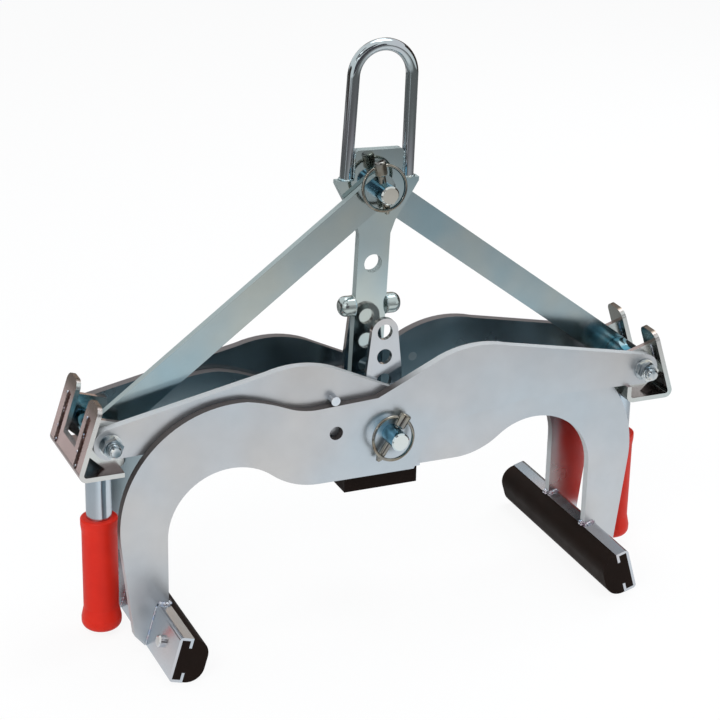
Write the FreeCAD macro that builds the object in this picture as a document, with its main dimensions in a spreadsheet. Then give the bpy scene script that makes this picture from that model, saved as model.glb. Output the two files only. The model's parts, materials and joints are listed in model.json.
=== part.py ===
import FreeCAD, Part
import math
import os
import Sketcher

doc = FreeCAD.newDocument("lifting_tongs")
sheet = doc.addObject("Spreadsheet::Sheet", "sizes")

# Lengths in millimetres, angles in degrees. Reach is measured sideways from the pivot,
# rise and drop are measured up and down from it, or from the top pin for the suspension.
DIMENSIONS = {
    # How the two halves and their pins pass each other.
    "plate_thickness": 10,
    "half_depth": 97,
    "side_gap": 0.5,
    "fit_clearance": 0.05,
    "cut_overrun": 5,
    # Arm plate: jaw leg and its arch.
    "arch_outer_radius": 126.4,
    "arch_outer_reach": 171.3,
    "arch_outer_drop": 66.9,
    "arch_inner_radius": 70,
    "arch_inner_drop": 82,
    "arch_tail_angle": 39,
    "arch_crest_reach": 160,
    "leg_turn_angle": 8,
    "leg_width": 50.7,
    "leg_foot_offset": 37.4,
    "leg_foot_below": 33.9,
    "leg_foot_share": 0.98,
    # Arm plate: hub and lever arm.
    "hub_top": 38.5,
    "hub_bottom": 46,
    "saddle_reach": 84,
    "saddle_radius": 200,
    "saddle_turn_reach": 118,
    "saddle_turn_rise": 45.8,
    "notch_rise": 42,
    "notch_reach": 15,
    "hump_start_reach": 58,
    "hump_start_rise": 76.5,
    "hump_end_reach": 135,
    "hump_end_rise": 80.5,
    "hump_radius": 115,
    "heel_reach": 28,
    "heel_top_reach": 45,
    "heel_top_drop": 12,
    "elbow_reach": 66,
    "elbow_rise": 3,
    "elbow_radius": 24,
    "underside_reach": 165,
    "underside_rise": 16,
    "arm_end_radius": 17,
    "spare_hole_reach": 62,
    "spare_hole_rise": 9,
    "spare_hole_diameter": 15,
    "stop_pin_diameter": 10,
    "stop_pin_reach": 63,
    "stop_gap": 0.5,
    # Jaw rail, its rubber pad and the screws that hold the pad.
    "rail_offset": 12.6,
    "jaw_drop": 153.1,
    "jaw_tilt_angle": 16.4,
    "rail_width": 50,
    "rail_depth": 15,
    "rail_wall": 3,
    "rail_lip": 11,
    "rail_bend_radius": 4,
    "rail_length": 250,
    "pad_projection": 20,
    "pad_inset": 0.5,
    "pad_radius": 18,
    "screw_diameter": 6,
    "screw_head_diameter": 13,
    "screw_head_height": 5,
    "screw_head_edge": 1.5,
    "screw_length": 9,
    "screw_inset": 41,
    # Handle bracket with its gussets.
    "upright_gap": 2.4,
    "lip_gap": 3.7,
    "bracket_drop": 6,
    "bracket_thickness": 5,
    "bracket_overhang": 5.5,
    "bracket_upright": 83,
    "bracket_lean_angle": 18,
    "bracket_lip": 19,
    "bracket_bend_radius": 8,
    "slot_width": 42,
    "slot_rise": 19.5,
    "finger_radius": 10,
    "relief_depth": 26,
    "relief_length": 9,
    "gusset_thickness": 6,
    "gusset_upper": 66,
    "gusset_lower": 28,
    "gusset_foot": 20,
    "gusset_inner_rise": 45,
    # Link bolt.
    "bolt_beyond": 5.3,
    "bolt_rise": 29.5,
    "bolt_diameter": 12,
    "bolt_head_height": 7.5,
    "bolt_end": 8,
    "bolt_chamfer": 1.2,
    "nut_flats": 19,
    "nut_height": 11,
    "nut_turn_angle": 12,
    "washer_diameter": 24,
    "washer_thickness": 2.5,
    "spacer_diameter": 32,
    # Handle.
    "handle_gap": 7.55,
    "tube_diameter": 26.9,
    "tube_wall": 2.6,
    "grip_diameter": 37.5,
    "grip_length": 129,
    "grip_round": 9,
    "grip_floor": 8,
    "grip_flange_diameter": 42.5,
    "grip_flange_height": 13,
    "grip_flange_slope": 12,
    "grip_bead_diameter": 39.5,
    "grip_bead_height": 8,
    "grip_edge": 2.5,
    "grip_ground_height": 5,
    "right_grip_lift": 8,
    # Links and pins.
    "link_rise": 226.6,
    "link_width": 32,
    "link_thickness": 8,
    "link_play": 3,
    "pin_diameter": 20,
    "pin_head_diameter": 32,
    "pin_head_height": 6,
    "pin_chamfer": 1.5,
    "pivot_pin_end": 27.5,
    "top_pin_end": 24.5,
    # Lynch pins and their rings.
    "lynch_diameter": 8,
    "lynch_tip_reach": 30,
    "lynch_tip_diameter": 4,
    "lynch_taper": 4,
    "lynch_head_diameter": 13,
    "lynch_head_gap": 2.5,
    "lynch_head_length": 16,
    "lynch_head_edge": 2,
    "pivot_lynch_angle": 33,
    "pivot_lynch_slip": -2,
    "top_lynch_angle": -10,
    "top_lynch_slip": 5,
    "ring_hinge_inset": 9,
    "ring_radius": 23.5,
    "ring_wire": 3.5,
    "ring_gap_angle": 20,
    "ring_rest_gap": 0.4,
    # Carriage on the pivot: latch cheeks, spacer, base plate and buffer.
    "cheek_thickness": 6,
    "cheek_top_rise": 106,
    "cheek_top_radius": 15,
    "cheek_hole_diameter": 17,
    "cheek_hole_pitch": 27.5,
    "cheek_waist_rise": 62,
    "cheek_waist_width": 40,
    "cheek_foot_width": 48,
    "cheek_foot_drop": 48,
    "pivot_spacer_diameter": 34,
    "base_length": 90,
    "base_thickness": 6,
    "buffer_length": 84,
    "buffer_inset": 1.75,
    "buffer_thickness": 19,
    # Suspension bar and lifting eye.
    "suspension_lean_angle": 2.3,
    "bar_thickness": 10,
    "bar_width": 35,
    "bar_gap": 4.2,
    "bar_hole_drop": 83,
    "bar_hole_diameter": 20,
    "ear_span": 69,
    "ear_drop": 130,
    "ear_diameter": 22,
    "ear_round": 8,
    "neck_drop": 51,
    "flare_drop": 37,
    "flare_width": 44,
    "shoulder_drop": 8,
    "shoulder_low_width": 78,
    "shoulder_width": 92,
    "shoulder_edge": 4,
    "shoulder_top": 8.5,
    "crown_width": 54,
    "crown_top": 40,
    "crown_radius": 4,
    "eye_bar_diameter": 13,
    "eye_leg_gap": 1,
    "eye_splay": 2.2,
    "eye_height": 146.5,
}
for row, (alias, number) in enumerate(DIMENSIONS.items(), 1):
    sheet.set(f"A{row}", str(number))
    sheet.setAlias(f"A{row}", alias)
doc.recompute()


class Size:
    """A number together with the expression that ties it to the sheet."""

    def __init__(self, value, text):
        self.value = value
        self.text = text

    def __add__(self, other):
        other = as_size(other)
        return Size(self.value + other.value, f"({self.text} + {other.text})")

    def __sub__(self, other):
        other = as_size(other)
        return Size(self.value - other.value, f"({self.text} - {other.text})")

    def __mul__(self, other):
        other = as_size(other)
        return Size(self.value * other.value, f"({self.text} * {other.text})")

    def __truediv__(self, other):
        other = as_size(other)
        return Size(self.value / other.value, f"({self.text} / {other.text})")

    def __rsub__(self, other):
        return as_size(other) - self

    def __neg__(self):
        return Size(-self.value, f"(-1 * {self.text})")


def as_size(item):
    return item if isinstance(item, Size) else Size(item, str(item))


def sine(angle):
    return Size(math.sin(math.radians(angle.value)), f"sin({angle.text})")


def cosine(angle):
    return Size(math.cos(math.radians(angle.value)), f"cos({angle.text})")


def tangent(angle):
    return Size(math.tan(math.radians(angle.value)), f"tan({angle.text})")


def arc_sine(ratio):
    return Size(math.degrees(math.asin(ratio.value)), f"asin({ratio.text})")


def root(square):
    return Size(math.sqrt(square.value), f"sqrt({square.text})")


class Named:
    """The sheet's sizes by name."""

    def __getattr__(self, alias):
        return Size(sheet.get(alias), f"sizes.{alias}")


S = Named()
parts = []


def bind(item, prop, size):
    item.setExpression(prop, as_size(size).text)


def place(item, turn, at, tilt=0, lift=0):
    """Stand a piece at a point, half a turn round for the second half of the tongs."""
    x, y, z = (as_size(value) for value in at)
    if turn:
        x, y = -x, -y
    spot = f"vector({x.text}; {y.text}; {z.text})"
    spin = f"rotation(vector(0; 0; 1); {180 if turn else 0})"
    spin += f" * rotation(vector(0; 1; 0); {as_size(tilt).text})"
    spin += f" * rotation(vector(1; 0; 0); {as_size(lift).text})"
    item.setExpression("Placement", f"placement({spot}; {spin})")


def new_body(label):
    body = doc.addObject("PartDesign::Body", label)
    body.Label = label
    parts.append(body)
    return body


def new_sketch(body, plane):
    sketch = body.newObject("Sketcher::SketchObject", f"{body.Label}_sketch")
    support = next(item for item in body.Origin.OriginFeatures if item.Role == plane)
    sketch.AttachmentSupport = [(support, "")]
    sketch.MapMode = "FlatFace"
    return sketch


def pin_down(sketch, edge, end, x, y):
    """Tie one point of a sketch to the sheet, or to an axis where it lies on one."""
    for kind, axis, size in (("DistanceX", -2, x), ("DistanceY", -1, y)):
        if isinstance(size, Size):
            rule = sketch.addConstraint(Sketcher.Constraint(kind, -1, 1, edge, end, size.value))
            sketch.setExpression(f"Constraints[{rule}]", size.text)
        else:
            sketch.addConstraint(Sketcher.Constraint("PointOnObject", edge, end, axis))


def arc_between(start, end, radius):
    chord = end - start
    half = chord.Length / 2
    side = FreeCAD.Vector(-chord.y, chord.x, 0).normalize()
    if radius < 0:
        side = -side
    centre = start + chord / 2 + side * math.sqrt(max(radius * radius - half * half, 0))
    first, last = (start, end) if radius > 0 else (end, start)
    angles = [math.atan2(point.y - centre.y, point.x - centre.x) for point in (first, last)]
    if angles[1] < angles[0]:
        angles[1] += 2 * math.pi
    circle = Part.Circle(centre, FreeCAD.Vector(0, 0, 1), abs(radius))
    return Part.ArcOfCircle(circle, *angles)


def outline(sketch, steps, closed=True):
    """Lines and arcs from step to step; a third entry is an arc's radius, minus for a right turn."""
    points = [FreeCAD.Vector(as_size(step[0]).value, as_size(step[1]).value, 0) for step in steps]
    base = sketch.GeometryCount
    ends = []
    first = 0 if closed else 1
    for index in range(first, len(steps)):
        step = steps[index]
        start, end = points[index - 1], points[index]
        turned = len(step) > 2 and step[2].value < 0
        ends.append((2, 1) if turned else (1, 2))
        if len(step) > 2:
            edge = sketch.addGeometry(arc_between(start, end, step[2].value), False)
            size = -step[2] if turned else step[2]
            rule = sketch.addConstraint(Sketcher.Constraint("Radius", edge, size.value))
            sketch.setExpression(f"Constraints[{rule}]", size.text)
        else:
            sketch.addGeometry(Part.LineSegment(start, end), False)
    count = len(ends)
    for index in range(count):
        edge = base + index
        pin_down(sketch, edge, ends[index][1], *steps[first + index][:2])
        if index + 1 < count or closed:
            after = (index + 1) % count
            rule = Sketcher.Constraint("Coincident", edge, ends[index][1], base + after, ends[after][0])
            sketch.addConstraint(rule)
    if not closed:
        pin_down(sketch, base, ends[0][0], *steps[0][:2])


def round_hole(sketch, x, y, diameter):
    centre = FreeCAD.Vector(as_size(x).value, as_size(y).value, 0)
    edge = sketch.addGeometry(Part.Circle(centre, FreeCAD.Vector(0, 0, 1), diameter.value / 2), False)
    pin_down(sketch, edge, 3, x, y)
    rule = sketch.addConstraint(Sketcher.Constraint("Diameter", edge, diameter.value))
    sketch.setExpression(f"Constraints[{rule}]", diameter.text)


def pad(body, sketch, length):
    feature = body.newObject("PartDesign::Pad", f"{body.Label}_pad")
    feature.Profile = sketch
    bind(feature, "Length", length)
    return feature


def through_cut(body, sketch):
    feature = body.newObject("PartDesign::Pocket", f"{body.Label}_cut")
    feature.Profile = sketch
    feature.Type = "ThroughAll"
    feature.SideType = "Symmetric"
    return feature


def revolve(body, sketch, axis):
    feature = body.newObject("PartDesign::Revolution", f"{body.Label}_turning")
    feature.Profile = sketch
    feature.ReferenceAxis = (sketch, [axis])
    return feature


def plate(label, steps, holes, depth):
    """A flat piece cut to an outline seen from the front; it grows forward from its rear face."""
    body = new_body(label)
    sketch = new_sketch(body, "XZ_Plane")
    outline(sketch, steps)
    for hole in holes:
        round_hole(sketch, *hole)
    pad(body, sketch, depth)
    return body


def sleeve(label, outer, inner, length, plane="XZ_Plane"):
    body = new_body(label)
    sketch = new_sketch(body, plane)
    round_hole(sketch, 0, 0, outer)
    round_hole(sketch, 0, 0, inner)
    pad(body, sketch, length)
    return body


def rod(label, diameter, length):
    body = new_body(label)
    sketch = new_sketch(body, "XZ_Plane")
    round_hole(sketch, 0, 0, diameter)
    pad(body, sketch, length)
    return body


def group(label, members):
    """Like pieces that share one name, each still a solid of its own."""
    for member in members:
        parts.remove(member)
    compound = doc.addObject("Part::Compound", label)
    compound.Label = label
    compound.Links = members
    parts.append(compound)


def dress(body, kind, edges, prop, size):
    """Round or bevel chosen edges of a body."""
    tip = body.Tip
    feature = body.newObject(f"PartDesign::{kind}", f"{body.Label}_{kind.lower()}")
    feature.Base = (tip, [f"Edge{index + 1}" for index, edge in enumerate(tip.Shape.Edges) if edges(edge)])
    bind(feature, prop, size)


def hexagon():
    corner = S.nut_flats / root(as_size(3))
    turns = [S.nut_turn_angle + 60 * index for index in range(6)]
    return [(corner * cosine(turn), corner * sine(turn)) for turn in turns]


def along(start, unit, distance, aside):
    """The point at a distance along a direction and a distance to its left."""
    return (start[0] + unit[0] * distance - unit[1] * aside, start[1] + unit[1] * distance + unit[0] * aside)


# Depth layout: the halves are alike, half a turn apart, and stagger past each other by one plate.
stagger = (S.plate_thickness + S.side_gap) / 2
front_face = -(S.half_depth / 2 + stagger)
rear_face = S.half_depth / 2 - stagger
inner_front = front_face + S.plate_thickness
inner_rear = rear_face - S.plate_thickness
cheek_outer = inner_rear - S.side_gap
cheek_inner = cheek_outer - S.cheek_thickness
bar_face = S.bar_thickness / 2
link_inner = bar_face + S.side_gap
link_outer = link_inner + S.link_thickness
fit = S.fit_clearance * 2

# Each lever end stands just outside the other half's arch, and its bracket and handle go with it.
leg_inside = S.arch_outer_reach + S.arch_outer_radius - S.leg_width
jaw_reach = leg_inside + S.rail_offset
bolt_reach = S.arch_outer_reach + S.arch_outer_radius + S.bolt_beyond
lean_sine = sine(S.bracket_lean_angle)
lean_cosine = cosine(S.bracket_lean_angle)
upright_side = S.arm_end_radius + S.upright_gap + S.bracket_thickness
bracket_reach = bolt_reach + (upright_side + (S.bolt_rise + S.bracket_drop) * lean_sine) / lean_cosine
bend_level = S.bracket_bend_radius - S.bracket_drop + S.arch_outer_drop
arch_edge = S.arch_outer_reach + root(S.arch_outer_radius * S.arch_outer_radius - bend_level * bend_level)
lip_reach = arch_edge + S.lip_gap
rail_corner = jaw_reach + S.rail_width * sine(S.jaw_tilt_angle)
handle_reach = rail_corner + S.handle_gap + S.grip_flange_diameter / 2
bracket_depth = S.half_depth + S.bracket_overhang * 2

# The tongs stand on the rounded lower edges of the two rubber pads.
tilt_sine = sine(S.jaw_tilt_angle)
tilt_cosine = cosine(S.jaw_tilt_angle)
round_down = S.rail_width - S.pad_inset - S.pad_radius
round_inward = S.rail_depth + S.pad_projection - S.pad_radius
pivot_height = S.jaw_drop + round_down * tilt_cosine + round_inward * tilt_sine + S.pad_radius
link_length = root(S.link_rise * S.link_rise + bolt_reach * bolt_reach)
top_pin_height = pivot_height + S.bolt_rise + S.link_rise
pin_hole = S.pin_diameter + fit
bolt_hole = S.bolt_diameter + fit
lynch_head_start = S.pin_diameter / 2 + S.lynch_head_gap
lynch_head_end = lynch_head_start + S.lynch_head_length
ring_hinge_reach = lynch_head_start + S.ring_hinge_inset


def on_jaw(inward, down):
    """A point measured from the jaw rail's outer top corner, across and down the tilted rail."""
    x = -jaw_reach + inward * tilt_cosine - down * tilt_sine
    return x, -S.jaw_drop - inward * tilt_sine - down * tilt_cosine


def arm_outline():
    """One arm plate seen from the front: jaw leg on the left, lever arm on the right."""
    inner_reach = leg_inside - S.arch_inner_radius
    shelf = S.jaw_drop + S.rail_offset * tangent(S.jaw_tilt_angle)
    tail_sine = sine(S.arch_tail_angle)
    tail_cosine = cosine(S.arch_tail_angle)
    tail_reach = inner_reach - S.arch_inner_radius * tail_sine
    tail_drop = S.arch_inner_drop - S.arch_inner_radius * tail_cosine
    sweep = (S.hub_bottom - tail_drop) / (1 - tail_cosine)
    crest_side = S.arch_crest_reach - S.arch_outer_reach
    crest = root(S.arch_outer_radius * S.arch_outer_radius - crest_side * crest_side) - S.arch_outer_drop
    dip = S.saddle_turn_rise - S.hub_top
    run = S.saddle_turn_reach - S.saddle_reach
    hollow = (run * run + dip * dip) / (dip * 2)
    leg_reach = S.arch_outer_reach + S.arch_outer_radius * cosine(S.leg_turn_angle)
    leg_drop = S.arch_outer_drop + S.arch_outer_radius * sine(S.leg_turn_angle)
    return [
        (-leg_inside, -shelf),
        (-leg_inside, -S.arch_inner_drop),
        (-tail_reach, -tail_drop, -S.arch_inner_radius),
        (-tail_reach + sweep * tail_sine, -S.hub_bottom, sweep),
        (S.heel_reach, -S.hub_bottom),
        (S.heel_top_reach, -S.heel_top_drop),
        (S.elbow_reach, S.elbow_rise, -S.elbow_radius),
        (S.underside_reach, S.underside_rise),
        (bolt_reach, S.bolt_rise - S.arm_end_radius),
        (bolt_reach + S.arm_end_radius, S.bolt_rise, S.arm_end_radius),
        (bolt_reach, S.bolt_rise + S.arm_end_radius, S.arm_end_radius),
        (S.hump_end_reach, S.hump_end_rise),
        (S.hump_start_reach, S.hump_start_rise, S.hump_radius),
        (-S.notch_reach, S.notch_rise),
        (-S.saddle_reach, S.hub_top),
        (-S.saddle_turn_reach, S.saddle_turn_rise, -hollow),
        (-S.arch_crest_reach, crest, S.saddle_radius),
        (-leg_reach, -leg_drop, S.arch_outer_radius),
        (-leg_inside - S.leg_foot_offset, -S.jaw_drop - S.leg_foot_below),
        on_jaw(as_size(0), S.rail_width * S.leg_foot_share),
        on_jaw(as_size(0), as_size(0)),
    ]


def jaw_rail(label, turn):
    """C-channel with lips; in its own frame x runs inward across the rail and z up along the web."""
    wide, deep, wall, lip, bend = S.rail_width, S.rail_depth, S.rail_wall, S.rail_lip, S.rail_bend_radius
    body = new_body(label)
    sketch = new_sketch(body, "XZ_Plane")
    outline(sketch, [
        (bend, 0),
        (0, -bend, bend),
        (0, bend - wide),
        (bend, -wide, bend),
        (deep, -wide),
        (deep, lip - wide),
        (deep - wall, lip - wide),
        (deep - wall, wall - wide),
        (wall, wall - wide),
        (wall, -wall),
        (deep - wall, -wall),
        (deep - wall, -lip),
        (deep, -lip),
        (deep, 0),
    ])
    pad(body, sketch, S.rail_length)
    screw_holes(body, None)
    place(body, turn, (-jaw_reach, S.rail_length / 2 - stagger, pivot_height - S.jaw_drop), S.jaw_tilt_angle)


def screw_holes(body, depth):
    sketch = new_sketch(body, "YZ_Plane")
    for y in (S.screw_inset, S.rail_length - S.screw_inset):
        round_hole(sketch, -y, -(S.rail_width / 2), S.screw_diameter + fit)
    feature = through_cut(body, sketch)
    if depth:
        feature.SideType = "One side"
        feature.Type = "Length"
        feature.Reversed = True
        bind(feature, "Length", depth)


def jaw_pad(label, turn):
    """Rubber profile: a foot inside the channel, a neck between its lips and a rounded head."""
    wide, deep, wall, lip = S.rail_width, S.rail_depth, S.rail_wall, S.rail_lip
    face = deep + S.pad_projection
    top, low, bend = -S.pad_inset, S.pad_inset - wide, S.pad_radius
    body = new_body(label)
    sketch = new_sketch(body, "XZ_Plane")
    outline(sketch, [
        (wall, -wall),
        (wall, wall - wide),
        (deep - wall, wall - wide),
        (deep - wall, lip - wide),
        (deep, lip - wide),
        (deep, low),
        (face - bend, low),
        (face, low + bend, bend),
        (face, top - bend),
        (face - bend, top, bend),
        (deep, top),
        (deep, -lip),
        (deep - wall, -lip),
        (deep - wall, -wall),
    ])
    pad(body, sketch, S.rail_length)
    screw_holes(body, S.screw_length + S.side_gap)
    place(body, turn, (-jaw_reach, S.rail_length / 2 - stagger, pivot_height - S.jaw_drop), S.jaw_tilt_angle)


def rail_screw(label, turn, y):
    head, edge = S.screw_head_diameter / 2, S.screw_head_edge
    body = new_body(label)
    sketch = new_sketch(body, "XY_Plane")
    outline(sketch, [
        (-S.screw_head_height, 0),
        (S.screw_length, 0),
        (S.screw_length, S.screw_diameter / 2),
        (0, S.screw_diameter / 2),
        (0, head),
        (edge - S.screw_head_height, head),
        (-S.screw_head_height, head - edge),
    ])
    revolve(body, sketch, "H_Axis")
    x, z = on_jaw(as_size(0), S.rail_width / 2)
    place(body, turn, (x, y - stagger, pivot_height + z), S.jaw_tilt_angle)
    return body


def on_upright(distance, aside):
    """A point up the bracket's leaning upright from its outer corner, and inward from its outer face."""
    return along((bracket_reach, -S.bracket_drop), (-lean_sine, lean_cosine), distance, aside)


def bracket_outline():
    """Bent strip: leaning upright, level foot and a short upturned lip."""
    thick, bend = S.bracket_thickness, S.bracket_bend_radius
    half_turn = tangent((90 - S.bracket_lean_angle) / 2)
    under = -S.bracket_drop
    over = thick - S.bracket_drop
    inside = bend - thick
    inner_turn = thick / half_turn
    return [
        on_upright(S.bracket_upright, as_size(0)),
        on_upright(S.bracket_upright, thick),
        on_upright(inner_turn + inside / half_turn, thick),
        (bracket_reach - inner_turn - inside / half_turn, over, -inside),
        (lip_reach + bend, over),
        (lip_reach + thick, over + inside, -inside),
        (lip_reach + thick, under + S.bracket_lip),
        (lip_reach, under + S.bracket_lip),
        (lip_reach, under + bend),
        (lip_reach + bend, under, bend),
        (bracket_reach - bend / half_turn, under),
        (*on_upright(bend / half_turn, as_size(0)), bend),
    ]


def bracket(label, turn):
    """Handle bracket: slotted for the link, and its lip cut back where the other half's outer plate passes."""
    body = new_body(label)
    sketch = new_sketch(body, "XZ_Plane")
    outline(sketch, bracket_outline())
    pad(body, sketch, bracket_depth)
    slot = new_sketch(body, "YZ_Plane")
    near = -(bracket_depth - S.slot_width) / 2
    far = -(bracket_depth + S.slot_width) / 2
    top = S.bracket_upright + S.cut_overrun
    outline(slot, [(near, S.slot_rise), (near, top), (far, top), (far, S.slot_rise)])
    through_cut(body, slot)
    relief = new_sketch(body, "XY_Plane")
    inside = lip_reach - S.cut_overrun
    outside = lip_reach + S.relief_length
    end = S.cut_overrun
    outline(relief, [(inside, end), (inside, -S.relief_depth), (outside, -S.relief_depth), (outside, end)])
    through_cut(body, relief)
    place(body, turn, (0, bracket_depth / 2 - stagger, pivot_height))
    doc.recompute()
    crest = on_upright(S.bracket_upright, S.bracket_thickness)[1].value - S.fit_clearance.value
    dress(body, "Fillet", lambda edge: finger_corner(edge, crest), "Radius", S.finger_radius)


def finger_corner(edge, crest):
    """True for the short edges across the strip at the tops of the bracket's fingers."""
    start, end = (vertex.Point for vertex in edge.Vertexes)
    level = abs(start.y - end.y) < S.fit_clearance.value
    return level and min(start.z, end.z) > crest


def gusset_outline():
    thick = S.bracket_thickness
    lip = lip_reach + thick
    lip_top = S.bracket_lip - S.bracket_drop
    return [
        on_upright(S.gusset_upper, thick),
        (lip_reach, S.gusset_inner_rise),
        (lip_reach, lip_top),
        (lip, lip_top),
        (lip, S.bracket_bend_radius - S.bracket_drop),
        (lip_reach + S.bracket_bend_radius, thick - S.bracket_drop),
        (lip + S.gusset_foot, thick - S.bracket_drop),
        on_upright(S.gusset_lower, thick),
    ]


def link_bolt(label):
    """Hex-headed bolt, growing forward from the rear face of its head."""
    body = new_body(label)
    head = new_sketch(body, "XZ_Plane")
    outline(head, hexagon())
    pad(body, head, S.bolt_head_height)
    shank = new_sketch(body, "XZ_Plane")
    round_hole(shank, 0, 0, S.bolt_diameter)
    stack = rear_face - front_face + S.washer_thickness * 2
    length = S.bolt_head_height + stack + S.nut_height + S.bolt_end
    pad(body, shank, length)
    doc.recompute()
    tip = S.fit_clearance.value - length.value
    dress(body, "Chamfer", lambda edge: edge.BoundBox.YMax < tip, "Size", S.bolt_chamfer)
    return body


def grip(label, turn, height):
    """Pushed-on handle grip: flange at the bottom, plain body and a bead round its mouth."""
    radius, flange, bead = S.grip_diameter / 2, S.grip_flange_diameter / 2, S.grip_bead_diameter / 2
    length = S.grip_length
    bore = S.tube_diameter / 2 + S.fit_clearance
    body = new_body(label)
    sketch = new_sketch(body, "XZ_Plane")
    outline(sketch, [
        (0, S.grip_floor),
        (0, 0),
        (flange - S.grip_round, 0),
        (flange, S.grip_round, S.grip_round),
        (flange, S.grip_flange_height),
        (radius, S.grip_flange_height + S.grip_flange_slope),
        (radius, length - S.grip_bead_height * 2),
        (bead, length - S.grip_bead_height),
        (bead, length - S.grip_edge),
        (bead - S.grip_edge, length, S.grip_edge),
        (bore, length),
        (bore, S.grip_floor),
    ])
    revolve(body, sketch, "V_Axis")
    place(body, turn, (handle_reach, -stagger, height))


def half(turn, jaw, lever, near, far, grip_height):
    """One half of the tongs; the second half is the same one, half a turn round."""
    pivot = (0, 0, pin_hole)
    bolt = (bolt_reach, S.bolt_rise, bolt_hole)
    spare = (-S.spare_hole_reach, S.spare_hole_rise, S.spare_hole_diameter)
    slope = (S.notch_rise - S.hub_top) / (S.saddle_reach - S.notch_reach)
    edge_rise = S.hub_top + slope * (S.saddle_reach - S.stop_pin_reach)
    stop_rise = edge_rise + S.stop_pin_diameter / 2 + S.stop_gap
    stop = (S.stop_pin_reach, stop_rise, S.stop_pin_diameter + fit)
    body = plate(f"{jaw}_jaw_{near}_plate", arm_outline(), [pivot, bolt, spare], S.plate_thickness)
    place(body, turn, (0, inner_front, pivot_height))
    body = plate(f"{jaw}_jaw_{far}_plate", arm_outline(), [pivot, bolt, spare, stop], S.plate_thickness)
    place(body, turn, (0, rear_face, pivot_height))
    pin_length = S.plate_thickness * 2 + S.side_gap
    body = rod(f"{jaw}_jaw_stop_pin", S.stop_pin_diameter, pin_length)
    place(body, turn, (S.stop_pin_reach, inner_rear + pin_length, pivot_height + stop_rise))

    jaw_rail(f"{jaw}_jaw_rail", turn)
    jaw_pad(f"{jaw}_jaw_pad", turn)
    inset = S.rail_length / 2 - S.screw_inset
    screws = [rail_screw(f"{jaw}_rail_{end}_screw", turn, y) for end, y in ((near, -inset), (far, inset))]
    group(f"{jaw}_rail_screws", screws)

    bracket(f"{lever}_bracket", turn)
    for end, rear in ((near, inner_front + S.gusset_thickness), (far, inner_rear)):
        body = plate(f"{lever}_{end}_gusset", gusset_outline(), [bolt], S.gusset_thickness)
        place(body, turn, (0, rear, pivot_height))

    bolt_height = pivot_height + S.bolt_rise
    link_front = link_inner - S.side_gap
    link_rear = link_outer + S.side_gap
    gusset_front = inner_front + S.gusset_thickness
    gusset_rear = inner_rear - S.gusset_thickness
    body = sleeve(f"{lever}_bolt_{near}_spacer", S.spacer_diameter, bolt_hole, link_front - gusset_front)
    place(body, turn, (bolt_reach, link_front, bolt_height))
    body = sleeve(f"{lever}_bolt_{far}_spacer", S.spacer_diameter, bolt_hole, gusset_rear - link_rear)
    place(body, turn, (bolt_reach, gusset_rear, bolt_height))
    washers = []
    for end, rear in ((near, front_face), (far, rear_face + S.washer_thickness)):
        washer = sleeve(f"{lever}_{end}_washer", S.washer_diameter, bolt_hole, S.washer_thickness)
        place(washer, turn, (bolt_reach, rear, bolt_height))
        washers.append(washer)
    group(f"{lever}_bolt_washers", washers)
    reach, front, rear = bolt_reach, front_face, rear_face
    if turn:
        reach, front, rear = -bolt_reach, -rear_face, -front_face
    body = link_bolt(f"{lever}_link_bolt")
    place(body, False, (reach, rear + S.washer_thickness + S.bolt_head_height, bolt_height))
    body = plate(f"{lever}_bolt_nut", hexagon(), [(0, 0, bolt_hole)], S.nut_height)
    place(body, False, (reach, front - S.washer_thickness, bolt_height))

    tube_bottom = grip_height + S.grip_floor
    tube_length = pivot_height - S.bracket_drop - tube_bottom
    bore = S.tube_diameter - S.tube_wall * 2
    body = sleeve(f"{lever}_handle_tube", S.tube_diameter, bore, tube_length, "XY_Plane")
    place(body, turn, (handle_reach, -stagger, tube_bottom))
    grip(f"{lever}_handle_grip", turn, grip_height)


def headed_pin(label, height, front, rear, lynch_y, angle):
    """Pin with a head at the rear and a cross hole near its front end."""
    radius, head, edge = S.pin_diameter / 2, S.pin_head_diameter / 2, S.pin_chamfer
    back = rear + S.pin_head_height
    body = new_body(label)
    sketch = new_sketch(body, "XY_Plane")
    outline(sketch, [
        (0, back),
        (0, front),
        (radius - edge, front),
        (radius, front + edge),
        (radius, rear),
        (head, rear),
        (head, back - edge),
        (head - edge, back),
    ])
    revolve(body, sketch, "V_Axis")
    cross = new_sketch(body, "XY_Plane")
    round_hole(cross, 0, lynch_y, S.lynch_diameter + fit)
    through_cut(body, cross)
    place(body, False, (0, 0, height), angle)


def lynch_pin(label, height, y, angle, slip):
    radius, head, edge = S.lynch_diameter / 2, S.lynch_head_diameter / 2, S.lynch_head_edge
    body = new_body(label)
    sketch = new_sketch(body, "XZ_Plane")
    outline(sketch, [
        (0, lynch_head_end),
        (0, -S.lynch_tip_reach),
        (S.lynch_tip_diameter / 2, -S.lynch_tip_reach),
        (radius, S.lynch_taper - S.lynch_tip_reach),
        (radius, lynch_head_start),
        (head - edge, lynch_head_start),
        (head, lynch_head_start + edge, edge),
        (head, lynch_head_end - edge),
        (head - edge, lynch_head_end, edge),
    ])
    revolve(body, sketch, "V_Axis")
    eye = new_sketch(body, "YZ_Plane")
    round_hole(eye, 0, ring_hinge_reach, S.ring_wire + fit)
    through_cut(body, eye)
    place(body, False, (slip * sine(angle), y, height + slip * cosine(angle)), angle)


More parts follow.
